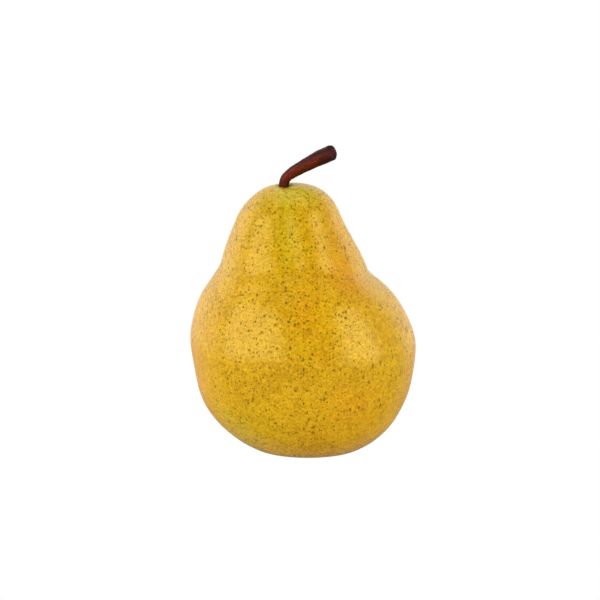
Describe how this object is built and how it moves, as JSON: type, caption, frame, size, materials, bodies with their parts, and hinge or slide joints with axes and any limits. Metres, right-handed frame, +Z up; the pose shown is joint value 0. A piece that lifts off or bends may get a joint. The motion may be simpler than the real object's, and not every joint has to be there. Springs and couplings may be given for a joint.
{
  "type": "pear",
  "caption": "Whole ripe pear with a broad lobed belly, a blunt neck, a bent woody stem and a dried calyx, standing on the rim under it.",
  "frame": {"origin": "on the surface that the pear stands on, under the middle of its bounding box", "axes": "+Z up through the stem end, +X to the pear's right, the way the stem bends, and -Y towards its front"},
  "size_m": [0.0783, 0.0775, 0.106],
  "materials": {
    "pear_skin": "satin",
    "stem_wood": "satin",
    "dry_sepals": "matte"
  },
  "bodies": {
    "root": {"fruit": "pear_skin", "stem": "stem_wood", "calyx": "dry_sepals"}
  },
  "joints": []
}
